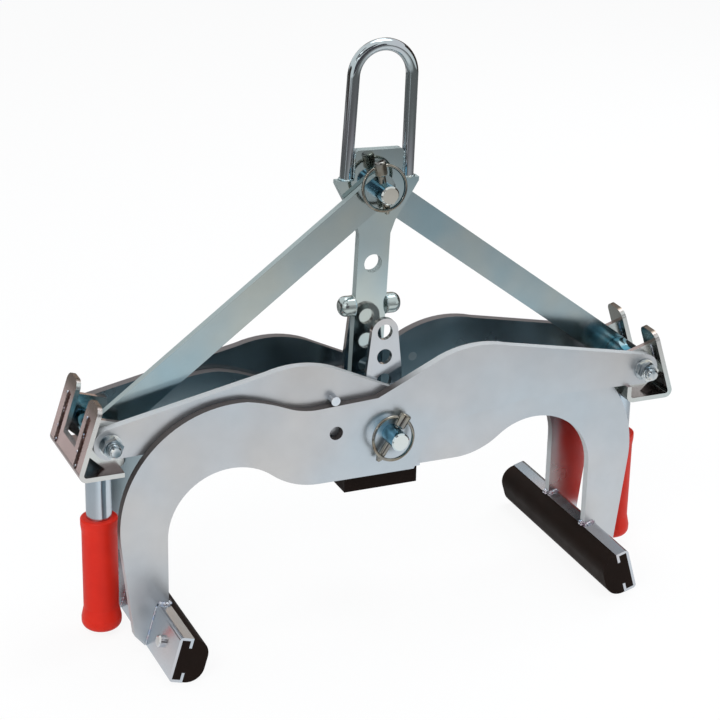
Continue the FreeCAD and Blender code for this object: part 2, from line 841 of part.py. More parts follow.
def lynch_ring(label, height, y, angle, slip):
    """Spring ring whose straight part turns in the lynch pin's head; it rests on the pin's shank."""
    drop = S.ring_radius * cosine(S.ring_gap_angle)
    body = new_body(label)
    section = new_sketch(body, "YZ_Plane")
    round_hole(section, 0, -S.ring_radius, S.ring_wire)
    hoop = revolve(body, section, "H_Axis")
    hoop.Midplane = True
    bind(hoop, "Angle", 360 - S.ring_gap_angle * 2)
    axle = new_sketch(body, "YZ_Plane")
    round_hole(axle, 0, drop, S.ring_wire)
    bar = pad(body, axle, S.ring_radius * sine(S.ring_gap_angle) * 2)
    bar.SideType = "Symmetric"
    lie = arc_sine((S.lynch_diameter / 2 + S.ring_wire / 2 + S.ring_rest_gap) / (S.ring_radius + drop))
    reach = ring_hinge_reach + slip - drop * cosine(lie)
    forward = drop * sine(lie)
    place(body, False, (reach * sine(angle), y - forward, height + reach * cosine(angle)), angle, -lie)


def mirrored(steps):
    """A right-hand side from the bottom up, closed by its mirror image."""
    count = len(steps)
    other = []
    for index in range(count - 1, -1, -1):
        x, y = steps[index][:2]
        after = steps[index + 1] if index + 1 < count else ()
        other.append((-x, y, *after[2:]))
    return steps + other


def carriage():
    top, radius = S.cheek_top_rise, S.cheek_top_radius
    holes = [(0, 0, pin_hole)]
    for index in range(3):
        holes.append((0, top - S.cheek_hole_pitch * index, S.cheek_hole_diameter))
    steps = [
        (S.cheek_foot_width / 2, -S.cheek_foot_drop),
        (S.cheek_waist_width / 2, S.cheek_waist_rise),
        (radius, top),
        (0, top + radius, radius),
        (-radius, top, radius),
        (-S.cheek_waist_width / 2, S.cheek_waist_rise),
        (-S.cheek_foot_width / 2, -S.cheek_foot_drop),
    ]
    for end, rear in (("front", -cheek_inner), ("rear", cheek_outer)):
        body = plate(f"{end}_latch_cheek", steps, holes, S.cheek_thickness)
        place(body, False, (0, rear, pivot_height))
    body = sleeve("pivot_spacer", S.pivot_spacer_diameter, pin_hole, cheek_inner * 2)
    place(body, False, (0, cheek_inner, pivot_height))
    base_drop = S.cheek_foot_drop + S.base_thickness
    buffer_width = (cheek_outer - S.buffer_inset) * 2
    for label, length, low, high, width in (
        ("carriage_base_plate", S.base_length, base_drop, S.cheek_foot_drop, cheek_outer * 2),
        ("rubber_buffer", S.buffer_length, base_drop + S.buffer_thickness, base_drop, buffer_width),
    ):
        side = [(length / 2, -low), (length / 2, -high)]
        body = plate(label, mirrored(side), [], width)
        place(body, False, (0, width / 2, pivot_height))


def link(label, turn):
    """Flat bar from the top pin down to the bolt on the left; its lower hole has play on the bolt."""
    unit = (-bolt_reach / link_length, -S.link_rise / link_length)
    top = (as_size(0), S.bolt_rise + S.link_rise)
    low = (-bolt_reach, S.bolt_rise)
    half_width = S.link_width / 2
    none = as_size(0)
    steps = [
        along(top, unit, none, half_width),
        (*along(top, unit, -half_width, none), half_width),
        (*along(top, unit, none, -half_width), half_width),
        along(low, unit, none, -half_width),
        (*along(low, unit, half_width, none), half_width),
        (*along(low, unit, none, half_width), half_width),
    ]
    holes = [(0, top[1], pin_hole), (*low, S.bolt_diameter + S.link_play * 2)]
    body = plate(label, steps, holes, S.link_thickness)
    place(body, turn, (0, -link_inner, pivot_height))


def ear(label, turn, lean):
    """Round stub with a rounded end, standing out sideways from one edge of the leaning bar."""
    length = (S.ear_span - S.bar_width) / 2
    radius = S.ear_diameter / 2
    body = new_body(label)
    sketch = new_sketch(body, "XY_Plane")
    outline(sketch, [
        (0, 0),
        (length, 0),
        (length, radius - S.ear_round),
        (length - S.ear_round, radius, S.ear_round),
        (0, radius),
    ])
    revolve(body, sketch, "H_Axis")
    x = S.bar_width / 2 * cosine(lean) - S.ear_drop * sine(lean)
    z = top_pin_height - S.ear_drop * cosine(lean) - S.bar_width / 2 * sine(lean)
    place(body, turn, (x, 0, z), lean)


def suspension():
    drop = S.bolt_rise + S.link_rise - S.pivot_spacer_diameter / 2 - S.bar_gap
    side = [
        (S.bar_width / 2, -drop),
        (S.bar_width / 2, -S.neck_drop),
        (S.flare_width / 2, -S.flare_drop),
        (S.shoulder_low_width / 2, -S.shoulder_drop),
        (S.shoulder_width / 2, S.shoulder_top - S.shoulder_edge),
        (S.shoulder_width / 2, S.shoulder_top),
        (S.crown_width / 2, S.shoulder_top),
        (S.crown_width / 2, S.crown_top - S.crown_radius),
        (S.crown_width / 2 - S.crown_radius, S.crown_top, S.crown_radius),
    ]
    holes = [(0, 0, pin_hole), (0, -S.bar_hole_drop, S.bar_hole_diameter)]
    body = plate("suspension_bar", mirrored(side), holes, S.bar_thickness)
    lean = S.suspension_lean_angle
    place(body, False, (0, bar_face, top_pin_height), lean)
    ear("right_ear", False, lean)
    ear("left_ear", True, -lean)

    leg = S.crown_width / 2 + S.eye_bar_diameter / 2 + S.eye_leg_gap
    bend = leg - S.eye_splay
    spring = S.shoulder_top + S.eye_height - S.eye_bar_diameter / 2 - bend
    body = new_body("lifting_eye")
    path = new_sketch(body, "XZ_Plane")
    steps = [(leg, S.shoulder_top), (bend, spring), (0, spring + bend, bend)]
    steps += [(-bend, spring, bend), (-leg, S.shoulder_top)]
    outline(path, steps, closed=False)
    section = new_sketch(body, "XY_Plane")
    section.setExpression("AttachmentOffset.Base.z", S.shoulder_top.text)
    round_hole(section, leg, 0, S.eye_bar_diameter)
    doc.recompute()
    pipe = body.newObject("PartDesign::AdditivePipe", "lifting_eye_bend")
    pipe.Profile = section
    pipe.Spine = (path, [f"Edge{index + 1}" for index in range(4)])
    place(body, False, (0, 0, top_pin_height), lean)


def export():
    """Stop on any failed feature, then write every piece to its own file."""
    doc.recompute()
    for item in doc.Objects:
        if "Invalid" in item.State or "Error" in item.State:
            raise RuntimeError(f"{item.Label}: {item.State}")
    os.makedirs("parts", exist_ok=True)
    for item in parts:
        if item.Shape.isNull() or not item.Shape.isValid():
            raise RuntimeError(f"{item.Label}: shape is not valid")
        item.Shape.exportStep(f"parts/{item.Label}.step")


half(False, "left", "right", "front", "rear", S.grip_ground_height + S.right_grip_lift)
half(True, "right", "left", "rear", "front", S.grip_ground_height)
carriage()
link("left_link", False)
link("right_link", True)
suspension()
pivot_lynch = front_face - S.side_gap - S.lynch_head_diameter / 2
headed_pin("pivot_pin", pivot_height, front_face - S.pivot_pin_end, -front_face + S.side_gap, pivot_lynch,
           S.pivot_lynch_angle)
lynch_pin("pivot_lynch_pin", pivot_height, pivot_lynch, S.pivot_lynch_angle, S.pivot_lynch_slip)
lynch_ring("pivot_lynch_ring", pivot_height, pivot_lynch, S.pivot_lynch_angle, S.pivot_lynch_slip)
top_lynch = -(link_outer + S.side_gap + S.lynch_head_diameter / 2)
headed_pin("top_pin", top_pin_height, -(link_outer + S.top_pin_end), link_outer + S.side_gap, top_lynch,
           S.top_lynch_angle)
lynch_pin("top_lynch_pin", top_pin_height, top_lynch, S.top_lynch_angle, S.top_lynch_slip)
lynch_ring("top_lynch_ring", top_pin_height, top_lynch, S.top_lynch_angle, S.top_lynch_slip)
export()
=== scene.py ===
import json
import math
from collections import namedtuple

import bmesh
import bpy
from mathutils import Matrix, Vector


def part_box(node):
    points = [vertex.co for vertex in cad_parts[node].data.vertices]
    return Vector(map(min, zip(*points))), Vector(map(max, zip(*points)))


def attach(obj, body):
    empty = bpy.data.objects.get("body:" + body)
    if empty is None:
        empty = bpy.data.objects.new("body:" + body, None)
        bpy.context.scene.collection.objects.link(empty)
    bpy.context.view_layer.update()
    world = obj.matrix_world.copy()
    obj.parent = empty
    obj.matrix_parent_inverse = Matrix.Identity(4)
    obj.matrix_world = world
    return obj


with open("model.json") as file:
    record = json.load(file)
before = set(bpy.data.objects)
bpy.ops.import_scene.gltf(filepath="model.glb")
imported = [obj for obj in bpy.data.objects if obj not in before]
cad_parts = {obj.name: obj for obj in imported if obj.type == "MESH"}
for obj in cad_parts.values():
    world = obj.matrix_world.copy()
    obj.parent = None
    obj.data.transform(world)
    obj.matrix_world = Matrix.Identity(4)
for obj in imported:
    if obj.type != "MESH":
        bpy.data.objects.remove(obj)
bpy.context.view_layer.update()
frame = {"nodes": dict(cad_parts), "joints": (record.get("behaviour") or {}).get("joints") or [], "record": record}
nodes = frame["nodes"]
joints = {joint["name"]: joint for joint in frame["joints"]}
mounts = {mount["name"]: mount for mount in frame["record"]["mounts"]}


def middle_of(node):
    low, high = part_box(node)
    return (low + high) / 2


def depths_of(node):
    """The front and rear limits of a solid."""
    low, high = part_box(node)
    return low.y, high.y


# Places that the frame gives, in metres like every size below
PIVOT_HEIGHT = joints["left_arm_pivot"]["pos_m"][2]
TOP_PIN_HEIGHT = joints["suspension_swing"]["pos_m"][2]
HOOK = Vector(mounts["eye_hook"]["pos_m"])
SUSPENSION_LEAN = math.atan2(HOOK.x, HOOK.z - TOP_PIN_HEIGHT)
JAW_TILT = math.asin(-mounts["left_jaw_face"]["axis"][2])
PLATE_FACES = depths_of("left_jaw_front_plate"), depths_of("left_jaw_rear_plate")
GUSSET_MIDDLES = middle_of("right_front_gusset").y, middle_of("right_rear_gusset").y
FOOT_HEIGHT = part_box("right_bracket")[0].z
HANDLE = middle_of("right_handle_grip")
TUBE_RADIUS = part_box("right_handle_tube")[1].x - HANDLE.x
BAR_FACE = depths_of("suspension_bar")[1]
EYE_RADIUS = depths_of("lifting_eye")[1]
EAR_RADIUS = depths_of("right_ear")[1]

# Sizes of the CAD that the frame doesn't name, from the pivot or, for the bar and the eye, the top pin
JAW_REACH, JAW_DROP = 0.2596, 0.1531
LEG_INSIDE, LEG_ON_RAIL = 0.247, 0.0131
RAIL_WIDTH = 0.050
UPRIGHT_REACH, UPRIGHT_THICKNESS, UPRIGHT_LEAN = 0.34019, 0.005, math.radians(18)
BOLT_RADIUS = 0.006
EYE_LEG, SHOULDER_TOP, CROWN_TOP, CROWN_SIDE = 0.0345, 0.0085, 0.040, 0.027
BAR_SIDE, EAR_DROP = 0.0175, 0.130

# Shares that grow or shrink over a span, a stretch alike in all directions, and the way up
RISING, FALLING = (0.0, 1.0), (1.0, 0.0)
EVEN = (1, 1, 1)
UPWARD = (0, 0, 1)


def blank_material(name):
    mat = bpy.data.materials.new(name)
    mat.use_nodes = True
    tree = mat.node_tree
    tree.nodes.clear()
    out = tree.nodes.new("ShaderNodeOutputMaterial")
    return mat, tree, out.inputs["Surface"]


def new_material(name):
    mat, tree, surface = blank_material(name)
    shader = tree.nodes.new("ShaderNodeBsdfPrincipled")
    tree.links.new(shader.outputs["BSDF"], surface)
    coord = tree.nodes.new("ShaderNodeTexCoord")
    return mat, tree, shader, coord


def noise(tree, coord, scale, detail, stretch=EVEN):
    mapping = tree.nodes.new("ShaderNodeMapping")
    mapping.inputs["Scale"].default_value = stretch
    tree.links.new(coord.outputs["Object"], mapping.inputs["Vector"])
    texture = tree.nodes.new("ShaderNodeTexNoise")
    texture.inputs["Scale"].default_value = scale
    texture.inputs["Detail"].default_value = detail
    tree.links.new(mapping.outputs["Vector"], texture.inputs["Vector"])
    return texture.outputs["Fac"]


def ramp(tree, value, places, colours):
    """Colour that runs through the given ones as a value passes their places."""
    node = tree.nodes.new("ShaderNodeValToRGB")
    elements = node.color_ramp.elements
    while len(elements) < len(places):
        elements.new(0.5)
    for element, place, colour in zip(elements, places, colours):
        element.position = place
        element.color = (*colour, 1)
    tree.links.new(value, node.inputs["Fac"])
    return node.outputs["Color"]


def span(tree, value, limits, results):
    """Carry a value from one range over to another, held at both ends."""
    node = tree.nodes.new("ShaderNodeMapRange")
    for name, number in zip(("From Min", "From Max", "To Min", "To Max"), (*limits, *results)):
        node.inputs[name].default_value = number
    tree.links.new(value, node.inputs["Value"])
    return node.outputs["Result"]


def mix(tree, factor, first, second, kind="MIX"):
    node = tree.nodes.new("ShaderNodeMix")
    node.data_type = "RGBA"
    node.blend_type = kind
    sockets = {socket.identifier: socket for socket in node.inputs}
    for key, item in (("Factor_Float", factor), ("A_Color", first), ("B_Color", second)):
        if isinstance(item, (int, float)):
            sockets[key].default_value = item
        elif isinstance(item, tuple):
            sockets[key].default_value = (*item, 1)
        else:
            tree.links.new(item, sockets[key])
    return {socket.identifier: socket for socket in node.outputs}["Result_Color"]


def math_node(tree, kind, *items):
    node = tree.nodes.new("ShaderNodeMath")
    node.operation = kind
    for socket, item in zip(node.inputs, items):
        if isinstance(item, (int, float)):
            socket.default_value = item
        else:
            tree.links.new(item, socket)
    return node.outputs["Value"]


def product(tree, first, second):
    return math_node(tree, "MULTIPLY", first, second)


def larger(tree, first, second):
    return math_node(tree, "MAXIMUM", first, second)


def bump(tree, shader, height, strength, distance):
    node = tree.nodes.new("ShaderNodeBump")
    node.inputs["Strength"].default_value = strength
    node.inputs["Distance"].default_value = distance
    tree.links.new(height, node.inputs["Height"])
    tree.links.new(node.outputs["Normal"], shader.inputs["Normal"])


def part_of(tree, socket, axis):
    split = tree.nodes.new("ShaderNodeSeparateXYZ")
    tree.links.new(socket, split.inputs["Vector"])
    return split.outputs[axis]


def place_along(tree, coord, axis):
    return part_of(tree, coord.outputs["Object"], axis)


def facing_along(tree, coord, axis):
    return part_of(tree, coord.outputs["Normal"], axis)


# Noise in the looks as scale and detail, then the places and shares that it is turned into
CLOUD_DETAIL, GRAIN_DETAIL = 2.0, 2.0
MOTTLE, SHADE_BLOTCHES, SHEEN, RIPPLE = (60.0, 4.0), (11.0, 3.0), (20.0, 3.0), (180.0, 3.0)
PATCHES, DULLNESS = (30.0, 4.0), (60.0, 3.0)
CLOUD_PLACES, SHADE_BLOTCH_PLACES, NOISE_LIMITS = (0.33, 0.50, 0.66), (0.35, 0.65), (0.3, 0.7)
MOTTLE_SHADES = ((0.96, 0.96, 0.96), (1.0, 1.0, 1.0))
# How much lighter the blotches in the painted shade on the inner faces get
SHADE_BLOTCH_LIFT = 1.5
SHEEN_SHARES = (0.85, 1.2)
DULLNESS_CHANGES = (-0.05, 0.06)
RIPPLE_DEPTH, GRAIN_DEPTH = 0.0004, 0.0003

# Where a look changes, for the painted shade and painted dark reflection too: by the way that a face points, and
# by place in metres
INWARD_LIMITS, RIM_LIMITS, INSIDE_SHADE_LIMITS = (0.6, 0.9), (0.35, 0.8), (-0.6, -0.4)
INNER_SHADE_HEIGHTS, DARK_REFLECTION_HEIGHTS, BURNT_HEIGHTS = (0.07, 0.15), (0.10, 0.14), (0.252, 0.272)
DARK_REFLECTION_REACH = (0.0, 0.04)

# A cut edge's colour, roughness and metalness, and the colour of a painted dark reflection on upper edges, only
# left of the pivot if asked for
CutEdge = namedtuple("CutEdge", "colour rough metal dark dark_left", defaults=(0.0, 1.0, None, False))
InnerFace = namedtuple("InnerFace", "colour side")


def inner_shade_colour(tree, coord, colour, inner):
    """Painted shade on the inner faces of the arms, blotchy, fading out down the legs."""
    inward = span(tree, product(tree, facing_along(tree, coord, "Y"), inner.side), INWARD_LIMITS, RISING)
    high = span(tree, place_along(tree, coord, "Z"), INNER_SHADE_HEIGHTS, RISING)
    lighter = tuple(SHADE_BLOTCH_LIFT * channel for channel in inner.colour)
    blotchy_shade = ramp(tree, noise(tree, coord, *SHADE_BLOTCHES), SHADE_BLOTCH_PLACES, (inner.colour, lighter))
    return mix(tree, product(tree, inward, high), colour, blotchy_shade)


def edge_colour(tree, coord, edge):
    """Colour of cut edges, with a painted dark reflection on the upper ones where that is asked for, or only left
    of the pivot.
    """
    if not edge.dark:
        return edge.colour
    dark = span(tree, place_along(tree, coord, "Z"), DARK_REFLECTION_HEIGHTS, RISING)
    if edge.dark_left:
        dark = product(tree, dark, span(tree, place_along(tree, coord, "X"), DARK_REFLECTION_REACH, FALLING))
    return mix(tree, dark, edge.colour, edge.dark)


def inside_shade_colour(tree, coord, colour, inside):
    """Painted shade on faces that point towards the middle of the tongs."""
    half = math_node(tree, "SIGN", place_along(tree, coord, "X"))
    outward = product(tree, facing_along(tree, coord, "X"), half)
    return mix(tree, span(tree, outward, INSIDE_SHADE_LIMITS, FALLING), colour, inside)


def zinc(name, tints, rough, edge=None, inner=None, inside=None, burnt=None,
         cloud=7.0, stretch=EVEN, ripple=0.012):
    """Zinc-plated steel: cloudy passivation tints, with painted shade on inner faces, painted dark reflection on
    upper edges, and other colours where they are asked for.

    Burnt is for the heat-stained tips of pieces that have an edge colour.
    """
    mat, tree, shader, coord = new_material(name)
    shader.inputs["Metallic"].default_value = 1.0
    colour = ramp(tree, noise(tree, coord, cloud, CLOUD_DETAIL, stretch), CLOUD_PLACES, tints)
    mottle = ramp(tree, noise(tree, coord, *MOTTLE), NOISE_LIMITS, MOTTLE_SHADES)
    colour = mix(tree, 1.0, colour, mottle, "MULTIPLY")
    polish = span(tree, noise(tree, coord, *SHEEN), NOISE_LIMITS, [rough * share for share in SHEEN_SHARES])
    # Painted shade on the inner faces of the arms
    if inner:
        colour = inner_shade_colour(tree, coord, colour, inner)
    # Cut-edge colour, with a painted dark reflection on upper edges where asked for
    if edge:
        sideways = math_node(tree, "ABSOLUTE", facing_along(tree, coord, "Y"))
        rim = span(tree, sideways, RIM_LIMITS, FALLING)
        colour = mix(tree, rim, colour, edge_colour(tree, coord, edge))
        polish = larger(tree, polish, product(tree, rim, edge.rough))
        tree.links.new(span(tree, rim, RISING, (1.0, edge.metal)), shader.inputs["Metallic"])
    if burnt:
        tip = span(tree, place_along(tree, coord, "Z"), BURNT_HEIGHTS, RISING)
        colour = mix(tree, product(tree, tip, rim), colour, burnt)
    # Painted shade on faces that point towards the middle of the tongs
    if inside:
        colour = inside_shade_colour(tree, coord, colour, inside)
    tree.links.new(colour, shader.inputs["Base Color"])
    tree.links.new(polish, shader.inputs["Roughness"])
    bump(tree, shader, noise(tree, coord, *RIPPLE), ripple, RIPPLE_DEPTH)
    return mat


def matte(name, tints, rough, specular, grain_scale, grain_strength):
    """Plastic or rubber: faint patches and a fine grain."""
    mat, tree, shader, coord = new_material(name)
    shader.inputs["Specular IOR Level"].default_value = specular
    colour = ramp(tree, noise(tree, coord, *PATCHES), NOISE_LIMITS, tints)
    tree.links.new(colour, shader.inputs["Base Color"])
    levels = [rough + change for change in DULLNESS_CHANGES]
    dullness = span(tree, noise(tree, coord, *DULLNESS), NOISE_LIMITS, levels)
    tree.links.new(dullness, shader.inputs["Roughness"])
    bump(tree, shader, noise(tree, coord, grain_scale, GRAIN_DETAIL), grain_strength, GRAIN_DEPTH)
    return mat


ARM = ((0.515, 0.585, 0.64), (0.545, 0.575, 0.605), (0.57, 0.57, 0.57))
# Colour of the painted shade on the arms' inner faces
ARM_INNER_SHADE = (0.275, 0.34, 0.37)
BAR = ((0.35, 0.49, 0.54), (0.42, 0.51, 0.53), (0.48, 0.53, 0.50))
LINK = ((0.31, 0.43, 0.48), (0.37, 0.45, 0.47), (0.42, 0.465, 0.445))
CHEEK = ((0.44, 0.54, 0.62), (0.52, 0.57, 0.62), (0.58, 0.56, 0.55))
BRACKET = ((0.56, 0.63, 0.63), (0.60, 0.62, 0.61), (0.60, 0.58, 0.57))
# Colour of the painted shade on the bracket's inner faces, and a heat tint for its tips
BRACKET_INSIDE_SHADE, BURNT = (0.13, 0.14, 0.125), (0.17, 0.14, 0.115)
RAIL = ((0.46, 0.58, 0.67), (0.53, 0.59, 0.65), (0.60, 0.56, 0.57))
EYE = ((0.38, 0.46, 0.50), (0.46, 0.53, 0.55), (0.47, 0.46, 0.52))
PIN = ((0.64, 0.70, 0.70), (0.68, 0.70, 0.66), (0.66, 0.62, 0.54))
LYNCH = ((0.22, 0.22, 0.21), (0.29, 0.28, 0.24), (0.20, 0.17, 0.13))
SPACER = ((0.03, 0.15, 0.24), (0.12, 0.37, 0.48), (0.42, 0.62, 0.70))
FASTENER = ((0.48, 0.58, 0.68), (0.66, 0.70, 0.74), (0.64, 0.62, 0.60))
BOLT = ((0.14, 0.19, 0.22), (0.50, 0.55, 0.58), (0.72, 0.72, 0.68))
BOLT_BANDS = (0.4, 1.6, 0.4)
WELD = ((0.34, 0.42, 0.58), (0.58, 0.60, 0.64), (0.48, 0.38, 0.46))
SEAM = ((0.045, 0.022, 0.018), (0.085, 0.045, 0.038), (0.16, 0.10, 0.09))
GRIP = ((0.68, 0.019, 0.008), (0.76, 0.025, 0.010))
RUBBER = ((0.009, 0.005, 0.0035), (0.014, 0.008, 0.006))

# Cut edges, and the sides of the pins
ARM_RIM = CutEdge((0.50, 0.52, 0.53), rough=0.5, metal=0.1)
# Painted dark reflection on upper edges: on the front left plate only left of the pivot, on the rear plates all
# along
SADDLE_RIM = ARM_RIM._replace(dark=(0.055, 0.047, 0.045), dark_left=True)
REAR_RIM = ARM_RIM._replace(dark=(0.11, 0.10, 0.10))
BAR_RIM = CutEdge((0.29, 0.35, 0.35), rough=0.5, metal=0.1)
CHEEK_RIM = CutEdge((0.50, 0.48, 0.47))
BRACKET_RIM = CutEdge((0.56, 0.46, 0.45))
PIN_SIDE = CutEdge((0.18, 0.42, 0.56))

# Painted shade on the inner faces of the front and rear plates
FRONT_INNER_SHADE, REAR_INNER_SHADE = InnerFace(ARM_INNER_SHADE, 1.0), InnerFace(ARM_INNER_SHADE, -1.0)
FLAT_BAR = {"edge": BAR_RIM, "cloud": 11.0, "ripple": 0.006}
ZINC_LOOKS = {
    "zinc_arm_front": {"tints": ARM, "rough": 0.33, "edge": ARM_RIM, "inner": FRONT_INNER_SHADE},
    "zinc_arm_front_left": {"tints": ARM, "rough": 0.33, "edge": SADDLE_RIM, "inner": FRONT_INNER_SHADE},
    "zinc_arm_rear": {"tints": ARM, "rough": 0.24, "edge": REAR_RIM, "inner": REAR_INNER_SHADE},
    "zinc_bar": {"tints": BAR, "rough": 0.07, **FLAT_BAR},
    "zinc_bar_link": {"tints": LINK, "rough": 0.17, **FLAT_BAR},
    "zinc_bar_ear": {"tints": BAR, "rough": 0.22},
    "zinc_cheek": {"tints": CHEEK, "rough": 0.16, "edge": CHEEK_RIM},
    "zinc_bracket": {"tints": BRACKET, "rough": 0.24, "edge": BRACKET_RIM,
                     "inside": BRACKET_INSIDE_SHADE, "burnt": BURNT},
    "zinc_rail": {"tints": RAIL, "rough": 0.20},
    "eye_steel": {"tints": EYE, "rough": 0.08},
    "pin_zinc": {"tints": PIN, "rough": 0.08, "edge": PIN_SIDE},
    "pin_zinc_lynch": {"tints": LYNCH, "rough": 0.10, "cloud": 50.0},
    "fastener_zinc": {"tints": FASTENER, "rough": 0.08, "cloud": 40.0},
    "fastener_zinc_bolt": {"tints": BOLT, "rough": 0.08, "cloud": 160.0, "stretch": BOLT_BANDS},
    "fastener_zinc_spacer": {"tints": SPACER, "rough": 0.10, "cloud": 40.0},
    "weld_bead": {"tints": WELD, "rough": 0.16, "cloud": 160.0},
    "weld_seam": {"tints": SEAM, "rough": 0.5, "cloud": 120.0},
    "eye_weld": {"tints": BAR, "rough": 0.25, "cloud": 120.0},
}
MATTE_LOOKS = {
    "grip_red": {"tints": GRIP, "rough": 0.42, "specular": 0.20,
                 "grain_scale": 900.0, "grain_strength": 0.05},
    "rubber": {"tints": RUBBER, "rough": 0.60, "specular": 0.07,
               "grain_scale": 700.0, "grain_strength": 0.15},
}
looks = {name: zinc(name, **values) for name, values in ZINC_LOOKS.items()}
looks.update({name: matte(name, **values) for name, values in MATTE_LOOKS.items()})


def look_of(node, slot):
    """Name of a solid's look: its material slot, or a variant of that."""
    if node == "left_jaw_front_plate":
        return "zinc_arm_front_left"
    if slot == "zinc_arm":
        return slot + ("_front" if "front" in node else "_rear")
    if "lynch" in node:
        return slot + "_lynch"
    if "bolt" in node:
        return slot + ("_spacer" if "spacer" in node else "_bolt")
    for ending in ("_ear", "_link"):
        if node.endswith(ending):
            return slot + ending
    return slot


for entry in frame["record"]["subparts"]:
    mesh = nodes[entry["node"]].data
    mesh.materials.clear()
    mesh.materials.append(looks[look_of(entry["node"], entry["material_slot"])])


def piece(name, build, look, body):
    """Make an object of a built mesh, shade it smoothly and fix it to its body."""
    bmesh.ops.recalc_face_normals(build, faces=build.faces)
    mesh = bpy.data.meshes.new(name)
    build.to_mesh(mesh)
    build.free()
    for face in mesh.polygons:
        face.use_smooth = True
    mesh.materials.append(looks[look])
    item = bpy.data.objects.new(name, mesh)
    bpy.context.scene.collection.objects.link(item)
    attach(item, body)


TUBE_SIDES, STEEP = 10, 0.8


def tube(build, points, radii, sides=TUBE_SIDES, closed=False, flat=1.0):
    """Round or flattened bar of changing thickness along a line of points."""
    count = len(points)
    turns = [2 * math.pi * step / sides for step in range(sides)]
    rings = []
    for index, (point, radius) in enumerate(zip(points, radii)):
        before = points[index - 1] if closed or index else point
        after = points[(index + 1) % count] if closed or index + 1 < count else point
        along = (after - before).normalized()
        upright = Vector(UPWARD) if abs(along.z) < STEEP else Vector((0, 1, 0))
        aside = along.cross(upright).normalized()
        over = aside.cross(along)
        ring = []
        for turn in turns:
            outward = aside * math.cos(turn) * flat + over * math.sin(turn)
            ring.append(build.verts.new(point + outward * radius))
        rings.append(ring)
    for index in range(count if closed else count - 1):
        first, second = rings[index], rings[(index + 1) % count]
        for step in range(sides):
            after = (step + 1) % sides
            build.faces.new((first[step], first[after], second[after], second[step]))
    if not closed:
        build.faces.new(rings[0])
        build.faces.new(rings[-1])


# Weld beads: the length of a drop and of a step along it, shares of the radius, and the waver's angles
BEAD_PITCH, BEAD_STEP, LEAST_STEPS = 0.0024, 0.0006, 3
BEAD_BODY, BEAD_SWELL, BEAD_WAVER = 0.82, 0.18, 0.08
TAPER_START, TAPER_STEP = 0.45, 0.2
RING_BODY, RING_SWELL, RING_WAVER = 0.84, 0.2, 0.06
WAVER_STEP, WAVER_PER_METRE, RING_WAVES = 0.9, 1000.0, 7


def drop_height(index):
    """Rise and fall of the drops along a bead, from nothing to one."""
    return abs(math.sin(math.pi * index * BEAD_STEP / BEAD_PITCH))


def bead(build, start, end, radius, flat=1.0):
    """Straight weld bead: overlapping drops that swell and waver a little, thin at both ends."""
    start, end = Vector(start), Vector(end)
    last = max(LEAST_STEPS, int((end - start).length / BEAD_STEP))
    points, radii = [], []
    for index in range(last + 1):
        points.append(start.lerp(end, index / last))
        waver = math.sin(index * WAVER_STEP + start.x * WAVER_PER_METRE)
        taper = min(1.0, TAPER_START + TAPER_STEP * min(index, last - index))
        radii.append(radius * (BEAD_BODY + BEAD_SWELL * drop_height(index) + BEAD_WAVER * waver) * taper)
    tube(build, points, radii, flat=flat)


def ring_bead(build, centre, axis, radius, thickness):
    """Weld bead all round a bar or tube."""
    axis = Vector(axis).normalized()
    aside = axis.orthogonal().normalized()
    over = axis.cross(aside)
    count = int(2 * math.pi * radius / BEAD_STEP)
    points, radii = [], []
    for index in range(count):
        turn = 2 * math.pi * index / count
        points.append(Vector(centre) + (aside * math.cos(turn) + over * math.sin(turn)) * radius)
        waver = math.sin(RING_WAVES * turn)
        radii.append(thickness * (RING_BODY + RING_SWELL * drop_height(index) + RING_WAVER * waver))
    tube(build, points, radii, closed=True)


def on_half(flat_point, y, turned):
    """A point of the left jaw's half, or of the other half, which is turned half round."""
    x, z = flat_point
    return (-x, -y, z) if turned else (x, y, z)


def on_jaw(inward, down):
    """A point of the jaw rail's section, from its upper outer corner."""
    x = -JAW_REACH + inward * math.cos(JAW_TILT) - down * math.sin(JAW_TILT)
    z = PIVOT_HEIGHT - JAW_DROP - inward * math.sin(JAW_TILT) - down * math.cos(JAW_TILT)
    return x, z


def on_upright(distance, inward):
    """A point of the bracket's upright, up along it and in from its outer face."""
    x = UPRIGHT_REACH - distance * math.sin(UPRIGHT_LEAN) - inward * math.cos(UPRIGHT_LEAN)
    z = FOOT_HEIGHT + distance * math.cos(UPRIGHT_LEAN) - inward * math.sin(UPRIGHT_LEAN)
    return x, z


def on_bar(x, z):
    """A point of the leaning suspension bar, from the top pin."""
    sine, cosine = math.sin(SUSPENSION_LEAN), math.cos(SUSPENSION_LEAN)
    return x * cosine + z * sine, TOP_PIN_HEIGHT + z * cosine - x * sine


FLANGE_BEAD, WEB_BEAD, INNER_BEAD = 0.0032, 0.0013, 0.0042
FLANGE_BEAD_START, WEB_BEAD_MARGIN = 0.001, 0.003


def jaw_welds(name, turned, body):
    """Beads where the two leg plates stand on the rail."""
    build = bmesh.new()
    corner, inner = on_jaw(FLANGE_BEAD_START, 0), on_jaw(LEG_ON_RAIL, 0)
    top, low = on_jaw(0, WEB_BEAD_MARGIN), on_jaw(0, RAIL_WIDTH - WEB_BEAD_MARGIN)
    inside = (-LEG_INSIDE, inner[1])
    for front, rear in PLATE_FACES:
        for face in (front, rear):
            bead(build, on_half(corner, face, turned), on_half(inner, face, turned), FLANGE_BEAD)
            bead(build, on_half(top, face, turned), on_half(low, face, turned), WEB_BEAD)
        bead(build, on_half(inside, front, turned), on_half(inside, rear, turned), INNER_BEAD)
    piece(name, build, "weld_bead", body)


